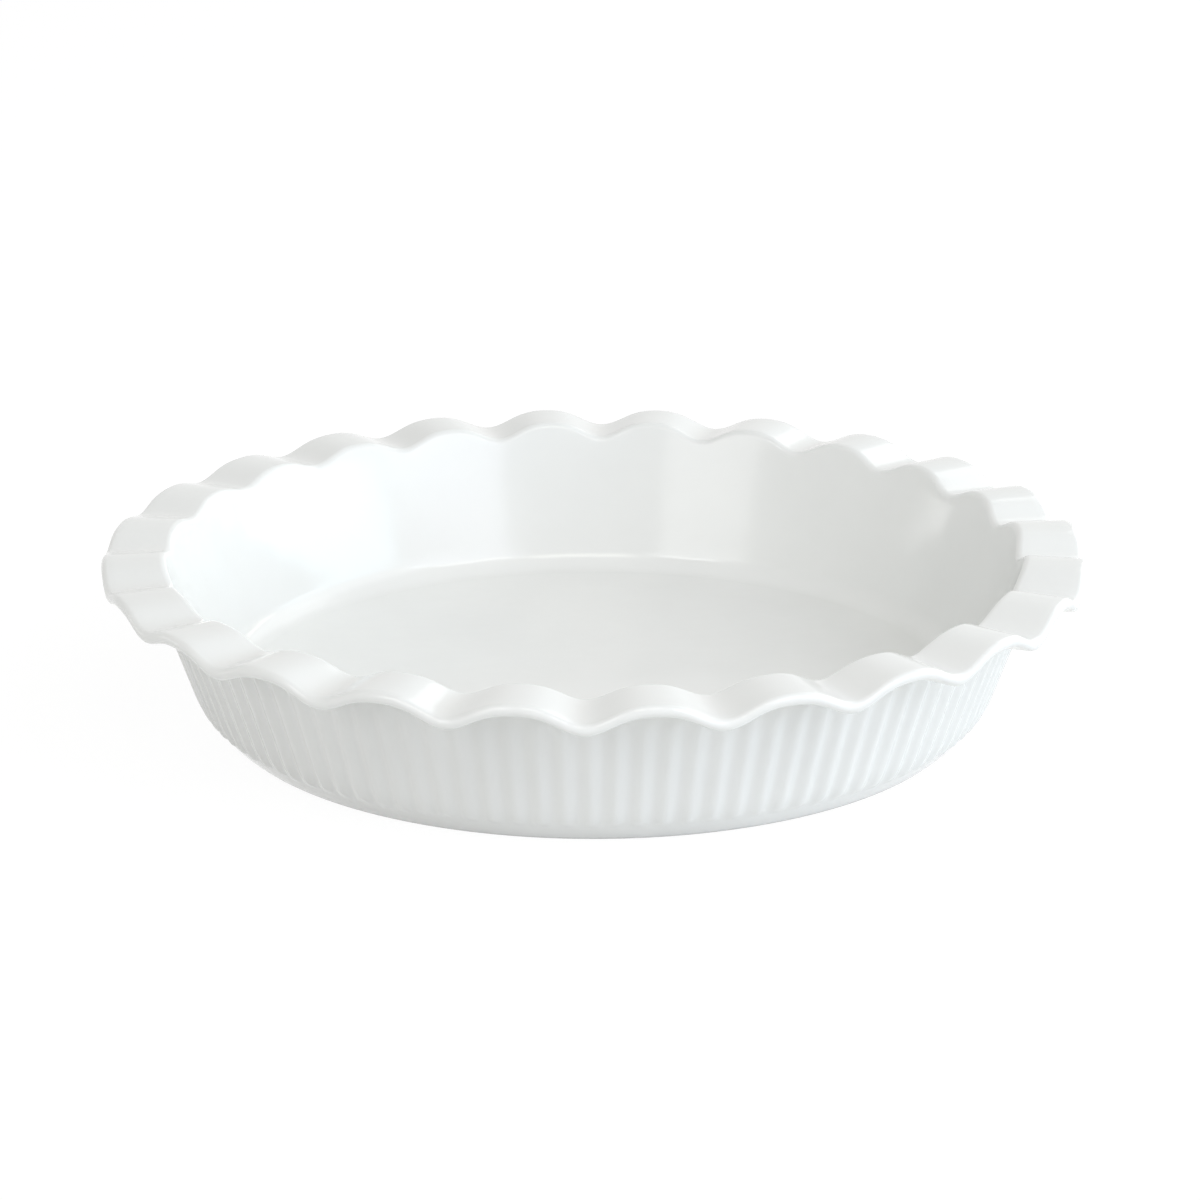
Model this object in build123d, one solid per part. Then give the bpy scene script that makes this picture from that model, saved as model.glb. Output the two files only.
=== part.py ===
from build123d import *
import os
from math import acos, cos, radians, sin, tan, tau

# Round pie dish with a ruffled rim and a fluted wall, in millimetres.
# The origin is the centre of the foot on the table, and +Z points up.
# The clay is pressed as one piece. A poured glaze lines the inside, and another covers the
# underside within the bare foot ring.

# Foot and underside
foot_radius = 106.6
foot_ring_width = 7.8
recess_depth = 1.4
recess_draft = radians(35)

# Outside wall, measured in the grooves between the flutes
heel_radius = 27.0
toe_angle = radians(39.5)
wall_flare = radians(19.3)
wall_height = 40.0

# Inside wall, which is parallel to the outside one, and floor
wall_thickness = 5.2
floor_thickness = 5.0
inside_heel_radius = 8.0
inside_heel_steps = 2

# Flutes, which stand out from the wall. Each is a flat crown between two slopes.
flute_count = 110
flute_depth = 0.8
crown_share = 0.4
first_flute = radians(1.2)
flute_shelf = 0.2
flute_start_height = 5.0

# Rim, whose ruffles are deepest at the lip
overhang = 14.45
lip_thickness = 3.4
lip_rise = 5.2
flange_rise = 0.5
corner_radius = 2.4
root_land = 0.5
root_run = 2.6
root_rise = 2.9
ruffle_count = 24
spans_per_ruffle = 4
ruffle_depth = 4.92
first_crest = radians(6.5)

# Broad crests and tight troughs come from a second wave, as a share of the ruffle's depth
trough_share = 0.077

# Glaze
glaze_thickness = 0.4
wiped_margin = 1.5

# The underside is recessed within the foot ring, and its edge is drafted
recess_radius = foot_radius - foot_ring_width - recess_depth * tan(recess_draft)

# The outside heel is an arc that runs smoothly into the straight, flaring wall
heel_turn = radians(90) - wall_flare
heel_top_height = heel_radius * (cos(toe_angle) - cos(heel_turn))
heel_top_radius = foot_radius + heel_radius * (sin(heel_turn) - sin(toe_angle))
wall_top_radius = heel_top_radius + (wall_height - heel_top_height) * tan(wall_flare)
flute_top_radius = wall_top_radius + flute_depth

# The lip is round, and the flange rises a little from it to the corner over the inside wall
rim_radius = flute_top_radius + overhang
lip_radius = lip_thickness / 2
lip_centre_radius = rim_radius - lip_radius
lip_height = wall_height + lip_rise
flange_height = lip_height + lip_radius + flange_rise
octagon_share = tan(radians(22.5))

# The inside heel is an arc that touches the floor and the inside wall
floor_height = recess_depth + floor_thickness
inside_heel_height = floor_height + inside_heel_radius
inside_top_radius = wall_top_radius - wall_thickness / cos(wall_flare)
inside_heel_run = (wall_height - inside_heel_height) * tan(wall_flare)
floor_radius = inside_top_radius - inside_heel_run - inside_heel_radius / cos(wall_flare)
corner_bevel = corner_radius * (1 - octagon_share)
opening_height = flange_height - corner_bevel
opening_radius = inside_top_radius + (opening_height - wall_height) * tan(wall_flare)

ruffle_pitch = tau / ruffle_count
flute_pitch = tau / flute_count


def at(radius, height, angle):
    return Vector(radius * cos(angle), radius * sin(angle), height)


def ruffled_ring(radius, height, lean=0):
    """Closed ring of splines, four to a ruffle. Its crests may lean out along the inside wall."""
    depth_here = ruffle_depth * radius / lip_centre_radius
    points = []
    tangents = []
    spans = range(spans_per_ruffle * ruffle_count)
    for number in range(len(spans) + 1):
        phase = number * tau / spans_per_ruffle
        angle = first_crest + phase / ruffle_count
        wave = depth_here * (cos(phase) / 2 - trough_share * cos(2 * phase))
        climb = depth_here * (2 * trough_share * sin(2 * phase) - sin(phase) / 2) * ruffle_count
        points.append(at(radius + wave * lean, height + wave, angle))
        onward = at(radius + wave * lean, 0, angle + radians(90))
        tangents.append(onward + at(climb * lean, climb, angle))
    return [Edge.make_spline(points[n : n + 2], tangents[n : n + 2]) for n in spans]


def level_ring(radius, height):
    """Level circle of arcs, divided where the ruffled rings are."""
    spans = range(spans_per_ruffle * ruffle_count)
    sweep = ruffle_pitch / spans_per_ruffle
    ring = []
    for number in spans:
        angles = [first_crest + (number + step / 2) * sweep for step in range(3)]
        ring.append(Edge.make_three_point_arc(*[at(radius, height, a) for a in angles]))
    return ring


def fluted_ring(radius, height):
    """Level ring of straight lines that rise from each groove to a crown and fall to the next."""
    corners = []
    for number in range(flute_count):
        middle = first_flute + number * flute_pitch
        crown = crown_share * flute_pitch / 2
        corners.append(at(radius, height, middle - flute_pitch / 2))
        corners.append(at(radius + flute_depth, height, middle - crown))
        corners.append(at(radius + flute_depth, height, middle + crown))
    return [Edge.make_line(a, b) for a, b in zip(corners, corners[1:] + corners[:1])]


def circle(radius, height):
    return Edge.make_circle(radius, Plane.XY.offset(height))


def turned(points):
    """Conical faces swept round the axis by the lines between points of an outline."""
    faces = []
    for (low_radius, low), (high_radius, high) in zip(points, points[1:]):
        line = Edge.make_line((low_radius, 0, low), (high_radius, 0, high))
        faces.append(Face.revolve(line, 360, Axis.Z))
    return faces


def skin(rings):
    """Ruled faces that join each ring to the next."""
    faces = []
    for low, high in zip(rings, rings[1:]):
        faces += [Face.make_surface_from_curves(a, b) for a, b in zip(low, high)]
    return faces


def ledge(outer, inner):
    """Level face between two rings."""
    return Face(Wire(outer), [Wire(inner)])


def heel_point(turn):
    """Radius and height on the outside heel, by the steepness of its face."""
    radius = foot_radius + heel_radius * (sin(turn) - sin(toe_angle))
    return radius, heel_radius * (cos(toe_angle) - cos(turn))


def heel_wall():
    """Smooth heel band, fluted wall above it, and the ledges at both ends of the flutes."""
    start_turn = acos(cos(toe_angle) - flute_start_height / heel_radius)
    start_radius = heel_point(start_turn)[0]
    band = [(foot_radius, 0), (start_radius - flute_shelf, flute_start_height)]
    fluted = [
        fluted_ring(start_radius, flute_start_height),
        fluted_ring(heel_top_radius, heel_top_height),
        fluted_ring(wall_top_radius, wall_height),
    ]
    root = level_ring(flute_top_radius + root_land, wall_height)
    ledges = [ledge(fluted[0], [circle(*band[1])]), ledge(root, fluted[-1])]
    return turned(band) + skin(fluted) + ledges, root


def rim(root):
    """Ruffled flange from under its root, round the lip and back to the inside wall."""
    underside_radius = flute_top_radius + root_land + root_run
    near = lip_radius * octagon_share
    corner_top_radius = opening_radius + corner_bevel
    middle_radius = (corner_top_radius + lip_centre_radius) / 2
    lean = tan(wall_flare)
    rings = [
        root,
        ruffled_ring(underside_radius, wall_height + root_rise),
        ruffled_ring(rim_radius, lip_height - lip_radius),
        ruffled_ring(rim_radius, lip_height + near),
        ruffled_ring(lip_centre_radius + near, lip_height + lip_radius),
        ruffled_ring(middle_radius, flange_height - flange_rise / 2),
        ruffled_ring(corner_top_radius, flange_height, lean),
        ruffled_ring(opening_radius, opening_height, lean),
        level_ring(inside_top_radius, wall_height),
    ]
    return skin(rings), rings[-1]


def inside_outline(depth):
    """Points up the inside from the edge of the floor to the brim, set back into the clay."""
    arc_radius = inside_heel_radius + depth
    points = []
    for step in range(inside_heel_steps + 1):
        lean = radians(90) - heel_turn * step / inside_heel_steps
        radius = floor_radius + arc_radius * cos(lean)
        points.append((radius, inside_heel_height - arc_radius * sin(lean)))
    points.append((inside_top_radius + depth / cos(wall_flare), wall_height))
    return points


def make_stoneware_body():
    """The clay: outside and rim skins, closed by the inside, the foot ring and the recess."""
    outside, root = heel_wall()
    flange, brim = rim(root)
    inside = inside_outline(glaze_thickness)
    recess = [(foot_radius - foot_ring_width, 0), (recess_radius, recess_depth)]
    levels = [Face(Wire(circle(*inside[0]))), Face(Wire(circle(*recess[1])))]
    levels += [ledge([circle(*inside[-1])], brim)]
    levels += [ledge([circle(foot_radius, 0)], [circle(*recess[0])])]
    return Solid(Shell(outside + flange + turned(inside) + turned(recess) + levels))


def make_liner_glaze():
    """Poured glaze over the floor and the inside wall, ending level under the turn of the rim."""
    inner = [(0, floor_height)] + inside_outline(0)
    outer = [(0, floor_height - glaze_thickness)] + inside_outline(glaze_thickness)
    section = make_face(Polyline(*inner, *reversed(outer), close=True))
    return revolve(Plane.XZ * section, Axis.Z)


def make_base_glaze():
    """Glaze on the recessed underside, wiped back from the edge of the foot ring."""
    glaze = Solid.make_cylinder(recess_radius - wiped_margin, glaze_thickness)
    return Pos(Z=recess_depth - glaze_thickness) * glaze


os.makedirs("parts", exist_ok=True)
export_step(make_stoneware_body(), "parts/stoneware_body.step")
export_step(make_liner_glaze(), "parts/liner_glaze.step")
export_step(make_base_glaze(), "parts/base_glaze.step")
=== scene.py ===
from math import cos, pi, radians, sin, tan, tau

import bpy
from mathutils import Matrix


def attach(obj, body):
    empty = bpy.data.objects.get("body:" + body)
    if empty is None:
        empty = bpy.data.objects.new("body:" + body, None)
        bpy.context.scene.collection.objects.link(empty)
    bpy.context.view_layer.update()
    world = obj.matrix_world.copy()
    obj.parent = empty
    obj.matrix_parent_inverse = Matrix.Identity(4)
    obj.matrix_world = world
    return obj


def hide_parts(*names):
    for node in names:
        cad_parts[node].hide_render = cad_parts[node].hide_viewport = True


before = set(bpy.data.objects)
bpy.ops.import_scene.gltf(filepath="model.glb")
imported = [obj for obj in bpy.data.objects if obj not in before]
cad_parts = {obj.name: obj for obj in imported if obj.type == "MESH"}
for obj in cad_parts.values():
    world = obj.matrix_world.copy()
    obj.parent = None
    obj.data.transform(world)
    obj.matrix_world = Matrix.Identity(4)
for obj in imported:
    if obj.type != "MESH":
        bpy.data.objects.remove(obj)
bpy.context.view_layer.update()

# CAMERA
# The dish is seen from the front and about twenty degrees above, through a long lens.
# The camera stands just over a metre back, and its view is level across.
film_width = 36.0
focal_length = 121.28
camera_distance = 1.1016
camera_height = 0.3981
look_down = radians(18.424)
look_aside = radians(0.088)

lens = bpy.data.cameras.new("camera")
lens.sensor_width = film_width
lens.lens = focal_length
camera = bpy.data.objects.new("camera", lens)
camera.location = (0.0, -camera_distance, camera_height)
camera.rotation_euler = (radians(90) - look_down, 0.0, -look_aside)
bpy.context.collection.objects.link(camera)
bpy.context.scene.camera = camera
bpy.context.scene.view_settings.view_transform = "Standard"


# FLOOR AND SURROUNDINGS
# A plain white table top that runs out of sight, in a white room.
# Seen straight or in the glaze, both are white, and a tenth of the table's white takes light,
# which keeps the soft shadow of the dish.
table_reach = 6.0
table_plain_share = 0.9
table_plain_white = 1.04
room_light = 0.45


def linear(hex_colour):
    """Linear RGBA of an sRGB colour written in hex."""
    colour = []
    for start in (1, 3, 5):
        channel = int(hex_colour[start : start + 2], 16) / 255
        colour.append(channel / 12.92 if channel <= 0.04045 else ((channel + 0.055) / 1.055) ** 2.4)
    return colour + [1.0]


def add_node(tree, kind, inputs=(), **settings):
    """New node with its settings. An input takes a value, a socket or a node's first output."""
    node = tree.nodes.new(kind)
    for name, value in settings.items():
        setattr(node, name, value)
    keyed = dict(enumerate(inputs)) if isinstance(inputs, list) else dict(inputs)
    for key, value in keyed.items():
        if isinstance(value, bpy.types.Node):
            value = value.outputs[0]
        if isinstance(value, bpy.types.NodeSocket):
            tree.links.new(value, node.inputs[key])
        else:
            node.inputs[key].default_value = value
    return node


def new_material(name):
    """Empty material and its node tree."""
    material = bpy.data.materials.new(name)
    material.use_nodes = True
    material.node_tree.nodes.clear()
    return material, material.node_tree


def seen_rays(tree):
    """1 on rays that show the view, straight or in a surface, and 0 on those that only light."""
    path = add_node(tree, "ShaderNodeLightPath").outputs
    seen = path["Is Camera Ray"]
    for name in ("Is Glossy Ray", "Is Transmission Ray"):
        seen = add_node(tree, "ShaderNodeMath", [seen, path[name]], operation="MAXIMUM")
    return seen


table_white, tree = new_material("white_table")
share = add_node(tree, "ShaderNodeMath", [seen_rays(tree), table_plain_share], operation="MULTIPLY")
matt = add_node(tree, "ShaderNodeBsdfDiffuse", {"Color": linear("#F2F2F1")})
glow = add_node(tree, "ShaderNodeEmission", {"Color": linear("#FFFFFF"), "Strength": table_plain_white})
mixed = add_node(tree, "ShaderNodeMixShader", [share, matt, glow])
add_node(tree, "ShaderNodeOutputMaterial", {"Surface": mixed})

table_mesh = bpy.data.meshes.new("table")
corners = [(x * table_reach, y * table_reach, 0) for x, y in ((-1, -1), (1, -1), (1, 1), (-1, 1))]
table_mesh.from_pydata(corners, [], [(0, 1, 2, 3)])
table_mesh.materials.append(table_white)
table = bpy.data.objects.new("table", table_mesh)
bpy.context.collection.objects.link(table)

world = bpy.data.worlds.new("room")
world.use_nodes = True
bpy.context.scene.world = world
tree = world.node_tree
tree.nodes.clear()
room = add_node(tree, "ShaderNodeBackground", {"Color": linear("#FFFFFF"), "Strength": room_light})
white = add_node(tree, "ShaderNodeBackground", {"Color": linear("#FFFFFF"), "Strength": 1.0})
mixed = add_node(tree, "ShaderNodeMixShader", [seen_rays(tree), room, white])
add_node(tree, "ShaderNodeOutputWorld", {"Surface": mixed})


# LIGHTS
# Daylight in a white studio, with windows in front and at the right, and pale walls elsewhere.
# Each is a broad soft box that faces the dish, and its shape shows in the glaze of the far wall.
lamp_distance = 2.0


def soft_box(name, azimuth, elevation, width, height, radiance, tint="#FFFFFF"):
    """Rectangle of light that faces the dish. Azimuth 0 is the camera's side, and + is right."""
    lamp = bpy.data.lights.new(name, "AREA")
    lamp.shape = "RECTANGLE"
    lamp.size = width
    lamp.size_y = height
    lamp.energy = radiance * pi * width * height
    lamp.color = linear(tint)[:3]
    holder = bpy.data.objects.new(name, lamp)
    turn, rise = radians(azimuth), radians(elevation)
    level = lamp_distance * cos(rise)
    holder.location = (level * sin(turn), -level * cos(turn), lamp_distance * sin(rise))
    holder.rotation_euler = (radians(90) - rise, 0, turn)
    bpy.context.collection.objects.link(holder)


# Name, azimuth and elevation in degrees, width and height in metres, radiance, and tint
soft_box("front_right_window", 46.3, 30, 1.215, 0.75, 2.45, "#ECF0FF")
soft_box("front_right_window_top", 46.3, 47, 0.78, 0.3, 4.6)
soft_box("front_right_reflector", 50, 8, 1.3, 0.4, 1.2, "#DCE2FF")
soft_box("front_left_window", -36.2, 30, 0.94, 0.75, 2.0)
soft_box("front_left_window_top", -36.2, 47, 0.6, 0.3, 4.6)
soft_box("right_window", 92, 12, 1.95, 0.6, 3.0, "#DAF3FF")
soft_box("right_window_top", 92, 34, 1.95, 0.8, 1.2)
soft_box("back_right_window", 140, 14, 1.2, 0.6, 2.9, "#FFF4E4")
soft_box("back_right_wall", 140, 36, 1.2, 0.8, 1.0)
soft_box("left_reflector", -108, 5.5, 0.8, 0.25, 1.8)
soft_box("overhead", 5, 54, 0.9, 0.6, 2.85, "#FFFFF4")


# GLAZED DISH
# Press-moulded stoneware under a continuous white gloss glaze, bare only on the ground foot ring.
# The wall has an even pattern of soft flutes, and the overhanging rim is pressed into ruffles.
# Its outline is turned about the axis, and the flutes and ruffles are then raised on it by rule.
MM = 0.001

# Foot, wall and floor, in millimetres
foot_radius = 106.6
foot_ring_width = 7.8
recess_depth = 1.4
recess_run = 1.0
heel_radius = 27.0
toe_angle = radians(39.5)
wall_flare = radians(19.3)
wall_height = 40.0
wall_thickness = 5.2
floor_thickness = 5.0
inside_heel_radius = 8.0

# Flutes, and the heights between which they rise at the heel and fade under the rim
flute_count = 110
flute_depth = 0.95
first_flute = radians(1.2)
flute_start = (5.0, 6.6)
flute_end = (38.5, 40.5)

# Rim, and its ruffles, which grow out from the root of the flange and are flatter on the left
rim_radius = 140.0
lip_radius = 1.7
lip_height = 45.2
lip_end = radians(88)
flange_height = 47.38
corner_radius = 2.4
root_fillet_radius = 3.6
root_fillet_run = 3.4
root_fillet_drop = 1.2
root_fillet_end = radians(94)
ruffle_count = 24
ruffle_depth = 4.92
ruffle_growth = (0.4, 5.0)
first_crest = radians(6.5)
trough_share = 0.077
flatter_side = radians(175)
flatter_share = 0.5

# Glaze and clay patterns
pooling_patch = 35.7
pooling_tones = ("#E7E8E6", "#EAEBE9")
ripple_length = 6.25
clay_grain = 1.11
clay_tones = ("#D6CDBB", "#E6DFD0")

columns_per_flute = 8


def clamp(value):
    """Value held between 0 and 1."""
    return min(max(value, 0.0), 1.0)


def smooth_step(value, low, high):
    """Share that eases from 0 at the low value to 1 at the high one."""
    share = clamp((value - low) / (high - low))
    return share * share * (3 - 2 * share)


def arc(centre, radius, start, end, steps):
    """Points on an arc in the outline's plane, by angles from level."""
    turns = [start + (end - start) * step / steps for step in range(steps + 1)]
    return [(centre[0] + radius * cos(turn), centre[1] + radius * sin(turn)) for turn in turns]


def straight(start, end, steps):
    """Points between two others, without the ends."""
    run, rise = end[0] - start[0], end[1] - start[1]
    shares = [step / steps for step in range(1, steps)]
    return [(start[0] + run * share, start[1] + rise * share) for share in shares]


# The outside of the wall, from the foot to the fillet under the rim
heel_centre = (foot_radius - heel_radius * sin(toe_angle), heel_radius * cos(toe_angle))
heel = arc(heel_centre, heel_radius, toe_angle - radians(90), -wall_flare, steps=14)
root_radius = heel[-1][0] + (wall_height - heel[-1][1]) * tan(wall_flare)
fillet_centre = (root_radius + root_fillet_run, wall_height - root_fillet_drop)
fillet = arc(fillet_centre, root_fillet_radius, radians(180) - wall_flare, root_fillet_end, steps=8)
inside_top_radius = root_radius - wall_thickness / cos(wall_flare)


def inside_radius(height):
    """Radius of the straight inside wall at a height."""
    return inside_top_radius + (height - wall_height) * tan(wall_flare)


# The rim, and the inside down to the floor. The corner and the heel touch the inside wall.
lip_centre = (rim_radius - lip_radius, lip_height)
lip = arc(lip_centre, lip_radius, -lip_end, lip_end, steps=12)
corner_height = flange_height - corner_radius
corner_centre = (inside_radius(corner_height) + corner_radius / cos(wall_flare), corner_height)
corner = arc(corner_centre, corner_radius, lip_end, radians(180) - wall_flare, steps=9)
floor_height = recess_depth + floor_thickness
inside_heel_height = floor_height + inside_heel_radius
inside_heel_reach = inside_radius(inside_heel_height) - inside_heel_radius / cos(wall_flare)
inside_heel_centre = (inside_heel_reach, inside_heel_height)
inside_heel = arc(inside_heel_centre, inside_heel_radius, -wall_flare, radians(-90), steps=12)
floor = [(radius, floor_height) for radius in (90.0, 60.0, 20.0, 0.0)]

# The recessed underside, and the foot ring, whose edges are softened by a few tenths. Here and
# on the floor, spare rings keep the shading of the flats flat.
ring_radius = foot_radius - foot_ring_width
recess_radius = ring_radius - recess_run
underside = [(radius, recess_depth) for radius in (0.0, 50.0, 90.0, recess_radius - 0.4)]
foot_ring = [(recess_radius + 0.1, recess_depth - 0.3), (ring_radius - 0.15, 0.2)]
foot_ring += [(radius, 0.0) for radius in (ring_radius + 0.3, 102.0, foot_radius - 0.4)]

outside = underside + foot_ring + heel + straight(heel[-1], fillet[0], steps=12)
flange = fillet + straight(fillet[-1], lip[0], steps=6)
rim = lip + straight(lip[-1], corner[0], steps=7) + corner
inside = straight(corner[-1], inside_heel[0], steps=12) + inside_heel + floor


def fluted(height):
    """Share of the flutes' depth at a height on the outside."""
    return smooth_step(height, *flute_start) * (1 - smooth_step(height, *flute_end))


def rooted(radius):
    """Share of the ruffles' depth under the flange, which grows out from its root."""
    return smooth_step(radius - root_radius, *ruffle_growth)


def sunk(height):
    """Share of the ruffles' depth down the inside wall, which ends level with the wall's top."""
    return clamp((height - wall_height) / (corner[-1][1] - wall_height))


def slope(radius):
    """How far a crest leans out as it rises, so that the opening stays flush with the wall."""
    across = (lip_centre[0] - radius) / (lip_centre[0] - corner[0][0])
    return tan(wall_flare) * clamp(2 * across - 1)


# Each row of the outline has a radius, a height, and its shares of the ruffles, lean and flutes.
# On the axis a row is a single point, and the faces that meet it are triangles.
rows = [(radius, height, 0.0, 0.0, fluted(height)) for radius, height in outside]
rows += [(radius, height, rooted(radius), 0.0, fluted(height)) for radius, height in flange]
rows += [(radius, height, 1.0, slope(radius), 0.0) for radius, height in rim]
rows += [(radius, height, sunk(height), slope(radius), 0.0) for radius, height in inside]
bare_rows = range(len(underside) - 1, len(underside + foot_ring))

columns = columns_per_flute * flute_count
points, faces, bare = [], [], []
shares = {"ruffle": [], "lean": [], "flute": []}
rings = []
for radius, height, *row_shares in rows:
    count = columns if radius else 1
    rings.append([len(points) + column % count for column in range(columns)])
    for column in range(count):
        turn = tau * column / columns
        points.append((radius * cos(turn) * MM, radius * sin(turn) * MM, height * MM))
    for name, value in zip(shares, row_shares):
        shares[name] += [value] * count
for row, (low, high) in enumerate(zip(rings, rings[1:])):
    for column in range(columns):
        after = (column + 1) % columns
        faces.append(tuple(dict.fromkeys((low[column], low[after], high[after], high[column]))))
        bare.append(row in bare_rows)

blank = bpy.data.meshes.new("outline")
blank.from_pydata(points, [], faces)
for name, values in shares.items():
    blank.attributes.new(name, "FLOAT", "POINT").data.foreach_set("value", values)
blank.attributes.new("bare", "BOOLEAN", "FACE").data.foreach_set("value", bare)

# Gloss glaze, poured inside and sprayed outside, and fired to a glassy, even coat with a faint
# ripple of about 6 mm. Its tone drifts a little over patches of 36 mm, where it lies thicker.
gloss_glaze, tree = new_material("white_gloss_glaze")
where = add_node(tree, "ShaderNodeTexCoord").outputs["Object"]
noise = {"Vector": where, "Scale": 1 / (pooling_patch * MM), "Detail": 3.0, "Roughness": 0.5}
pooling = add_node(tree, "ShaderNodeTexNoise", noise).outputs["Fac"]
tone = add_node(tree, "ShaderNodeValToRGB", {"Fac": pooling})
for stop, position, colour in zip(tone.color_ramp.elements, (0.3, 0.7), pooling_tones):
    stop.position = position
    stop.color = linear(colour)
noise = {"Vector": where, "Scale": 1 / (ripple_length * MM), "Detail": 2.0, "Roughness": 0.45}
ripple = add_node(tree, "ShaderNodeTexNoise", noise).outputs["Fac"]
bump = add_node(tree, "ShaderNodeBump", {"Height": ripple, "Strength": 0.35, "Distance": 0.08 * MM})
polish = add_node(tree, "ShaderNodeMapRange", {"Value": pooling, "To Min": 0.12, "To Max": 0.16})
finish = {"Base Color": tone, "Roughness": polish, "Normal": bump, "IOR": 1.52}
coat = add_node(tree, "ShaderNodeBsdfPrincipled", finish)
add_node(tree, "ShaderNodeOutputMaterial", {"Surface": coat})

# Bare stoneware, ground clean of glaze: matt and cream coloured, with a sandy grain of 1 mm
bare_stoneware, tree = new_material("bare_stoneware")
where = add_node(tree, "ShaderNodeTexCoord").outputs["Object"]
noise = {"Vector": where, "Scale": 1 / (clay_grain * MM), "Detail": 4.0, "Roughness": 0.6}
grain = add_node(tree, "ShaderNodeTexNoise", noise).outputs["Fac"]
tone = add_node(tree, "ShaderNodeValToRGB", {"Fac": grain})
for stop, position, colour in zip(tone.color_ramp.elements, (0.35, 0.65), clay_tones):
    stop.position = position
    stop.color = linear(colour)
bump = add_node(tree, "ShaderNodeBump", {"Height": grain, "Strength": 0.5, "Distance": 0.1 * MM})
finish = {"Base Color": tone, "Roughness": 0.85, "Normal": bump}
clay = add_node(tree, "ShaderNodeBsdfPrincipled", finish)
add_node(tree, "ShaderNodeOutputMaterial", {"Surface": clay})

# The rule: each point is lifted by the ruffles' wave and pushed out by the flutes' wave
sizes = {
    "Ruffle count": float(ruffle_count),
    "Ruffle depth": ruffle_depth * MM,
    "First crest": first_crest,
    "Trough share": trough_share,
    "Full depth radius": lip_centre[0] * MM,
    "Flatter side": flatter_side,
    "Flatter share": flatter_share,
    "Flute count": float(flute_count),
    "Flute depth": flute_depth * MM,
    "First flute": first_flute,
}
finishes = {"Glaze": gloss_glaze, "Bare clay": bare_stoneware}
rule = bpy.data.node_groups.new("ruffles_and_flutes", "GeometryNodeTree")
rule.interface.new_socket("Geometry", in_out="INPUT", socket_type="NodeSocketGeometry")
rule.interface.new_socket("Geometry", in_out="OUTPUT", socket_type="NodeSocketGeometry")
chosen = {}
for kind, group in (("NodeSocketFloat", sizes), ("NodeSocketMaterial", finishes)):
    for name, value in group.items():
        socket = rule.interface.new_socket(name, in_out="INPUT", socket_type=kind)
        chosen[socket.identifier] = value

given = add_node(rule, "NodeGroupInput").outputs
place = add_node(rule, "ShaderNodeSeparateXYZ", [add_node(rule, "GeometryNodeInputPosition")]).outputs
level = add_node(rule, "ShaderNodeCombineXYZ", [place["X"], place["Y"]])
values = {name: given[name] for name in sizes}
values |= {"x": place["X"], "y": place["Y"]}
values["radius"] = add_node(rule, "ShaderNodeVectorMath", [level], operation="LENGTH").outputs["Value"]
for name in shares:
    values[name] = add_node(rule, "GeometryNodeInputNamedAttribute", {"Name": name}, data_type="FLOAT")

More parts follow.
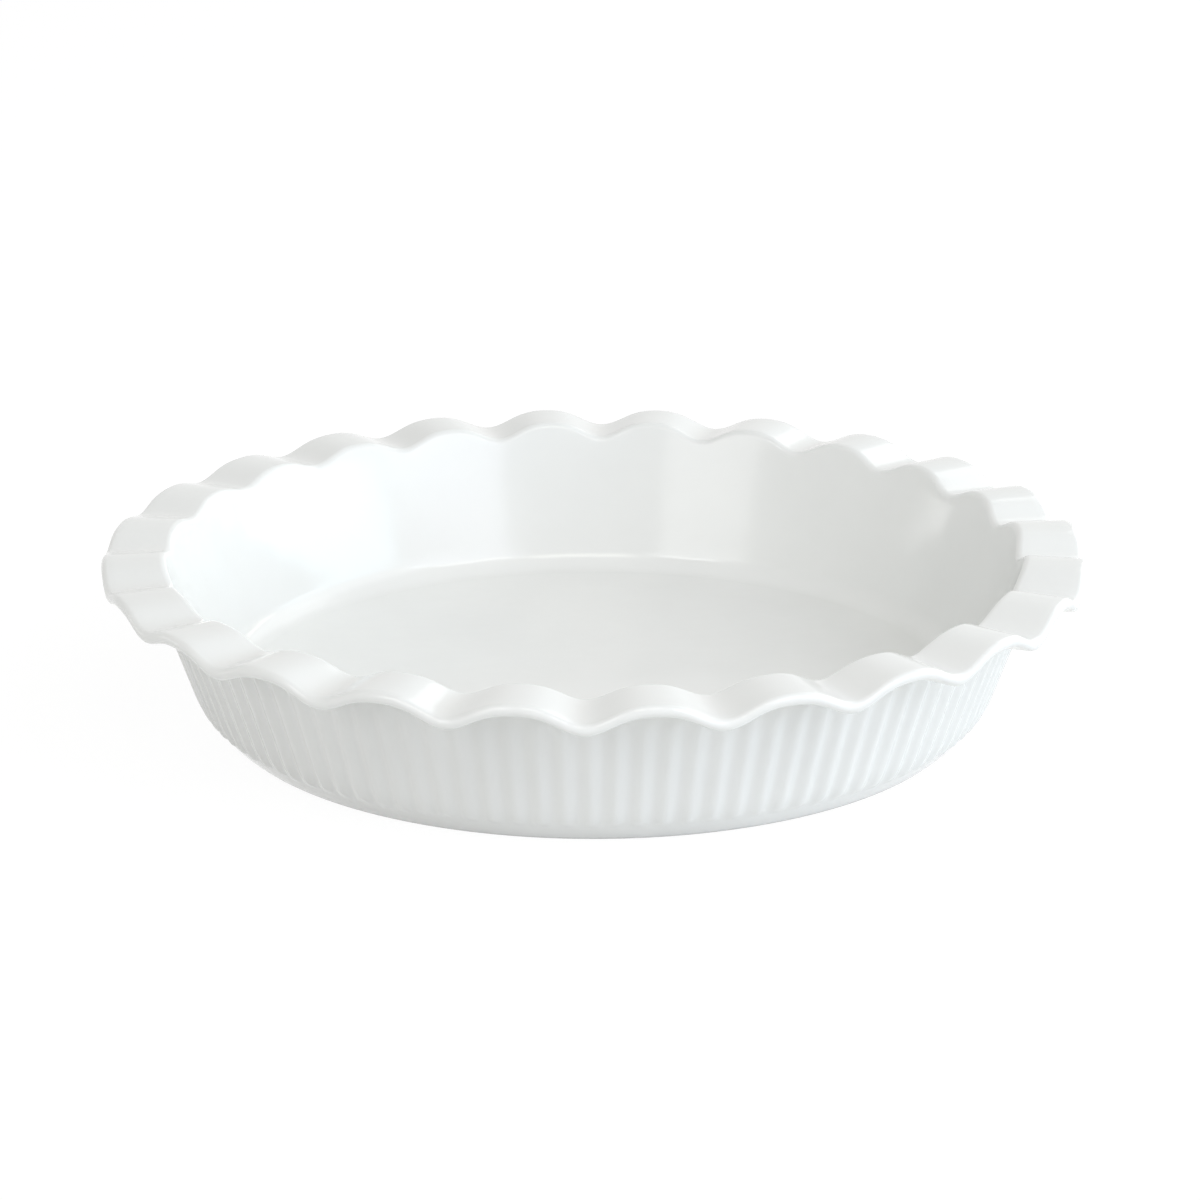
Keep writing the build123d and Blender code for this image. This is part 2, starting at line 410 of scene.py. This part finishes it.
# Each step gives its result's name, the operation, and what it works on
steps = [
    ("angle", "ARCTAN2", "y", "x"),
    ("past crest", "SUBTRACT", "angle", "First crest"),
    ("phase", "MULTIPLY", "past crest", "Ruffle count"),
    ("broad wave", "COSINE", "phase"),
    ("half wave", "MULTIPLY", "broad wave", 0.5),
    ("double phase", "MULTIPLY", "phase", 2.0),
    ("second wave", "COSINE", "double phase"),
    ("sharpening", "MULTIPLY", "second wave", "Trough share"),
    ("wave", "SUBTRACT", "half wave", "sharpening"),
    ("side angle", "SUBTRACT", "angle", "Flatter side"),
    ("side wave", "COSINE", "side angle"),
    ("side half", "MAXIMUM", "side wave", 0.0),
    ("side share", "MULTIPLY", "side half", "side half"),
    ("flattening", "MULTIPLY", "side share", "Flatter share"),
    ("kept share", "SUBTRACT", 1.0, "flattening"),
    ("lip depth", "MULTIPLY", "Ruffle depth", "kept share"),
    ("reach", "DIVIDE", "radius", "Full depth radius"),
    ("depth", "MULTIPLY", "lip depth", "reach"),
    ("full lift", "MULTIPLY", "wave", "depth"),
    ("lift", "MULTIPLY", "full lift", "ruffle"),
    ("past flute", "SUBTRACT", "angle", "First flute"),
    ("flute phase", "MULTIPLY", "past flute", "Flute count"),
    ("flute wave", "COSINE", "flute phase"),
    ("raised wave", "ADD", "flute wave", 1.0),
    ("bulge", "MULTIPLY", "raised wave", 0.5),
    ("full ridge", "MULTIPLY", "bulge", "Flute depth"),
    ("ridge", "MULTIPLY", "full ridge", "flute"),
    ("slide", "MULTIPLY", "lift", "lean"),
    ("push", "ADD", "ridge", "slide"),
]
for result, operation, *terms in steps:
    known = [values.get(term, term) for term in terms]
    values[result] = add_node(rule, "ShaderNodeMath", known, operation=operation)

outward = add_node(rule, "ShaderNodeVectorMath", [level], operation="NORMALIZE")
pushed = add_node(rule, "ShaderNodeVectorMath", {0: outward, "Scale": values["push"]}, operation="SCALE")
lifted = add_node(rule, "ShaderNodeCombineXYZ", {"Z": values["lift"]})
offset = add_node(rule, "ShaderNodeVectorMath", [pushed, lifted], operation="ADD")
moved = add_node(rule, "GeometryNodeSetPosition", {"Geometry": given["Geometry"], "Offset": offset})
real = add_node(rule, "GeometryNodeRealizeInstances", [moved])
glazed = add_node(rule, "GeometryNodeSetMaterial", {"Geometry": real, "Material": given["Glaze"]})
is_bare = add_node(rule, "GeometryNodeInputNamedAttribute", {"Name": "bare"}, data_type="BOOLEAN")
wiped = {"Geometry": glazed, "Selection": is_bare, "Material": given["Bare clay"]}
add_node(rule, "NodeGroupOutput", {"Geometry": add_node(rule, "GeometryNodeSetMaterial", wiped)})

dish = bpy.data.objects.new("glazed_dish", blank)
bpy.context.collection.objects.link(dish)
modifier = dish.modifiers.new("ruffles_and_flutes", "NODES")
modifier.node_group = rule
for identifier, value in chosen.items():
    modifier[identifier] = value
evaluated = dish.evaluated_get(bpy.context.evaluated_depsgraph_get())
dish.data = bpy.data.meshes.new_from_object(evaluated)
dish.modifiers.remove(modifier)
dish.data.name = "glazed_dish"
dish.data.polygons.foreach_set("use_smooth", [True] * len(dish.data.polygons))
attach(dish, "root")
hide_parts("stoneware_body", "liner_glaze")

# BASE GLAZE
# The patch of glaze on the recessed underside, of the same white gloss as the rest.
# It was sponged back from the foot ring before firing.
under_glaze = gloss_glaze.copy()
under_glaze.name = "thin_base_glaze"
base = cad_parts["base_glaze"]
base.data.materials.clear()
base.data.materials.append(under_glaze)
